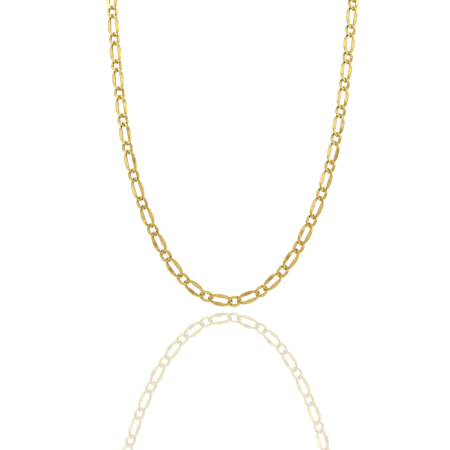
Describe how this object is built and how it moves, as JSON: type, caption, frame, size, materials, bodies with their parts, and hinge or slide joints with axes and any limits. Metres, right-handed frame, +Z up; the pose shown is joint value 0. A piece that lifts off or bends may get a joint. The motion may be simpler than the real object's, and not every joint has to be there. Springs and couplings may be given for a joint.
{
  "type": "flat chain necklace",
  "caption": "Flat chain necklace of long and short twisted links in turn, closed at the nape by a plain clasp, kept in the form it has when worn.",
  "frame": {"origin": "middle of the clasp's neck side, where the necklace hangs on the nape", "axes": "+Z up, -Y to the front of the wearer, +X to the right as seen from the front"},
  "size_m": [0.1055, 0.1121, 0.1817],
  "materials": {
    "gold": "polished"
  },
  "bodies": {
    "root": {"long_links": "gold", "short_links": "gold", "jump_ring_left": "gold", "jump_ring_right": "gold", "clasp": "gold"}
  },
  "joints": []
}
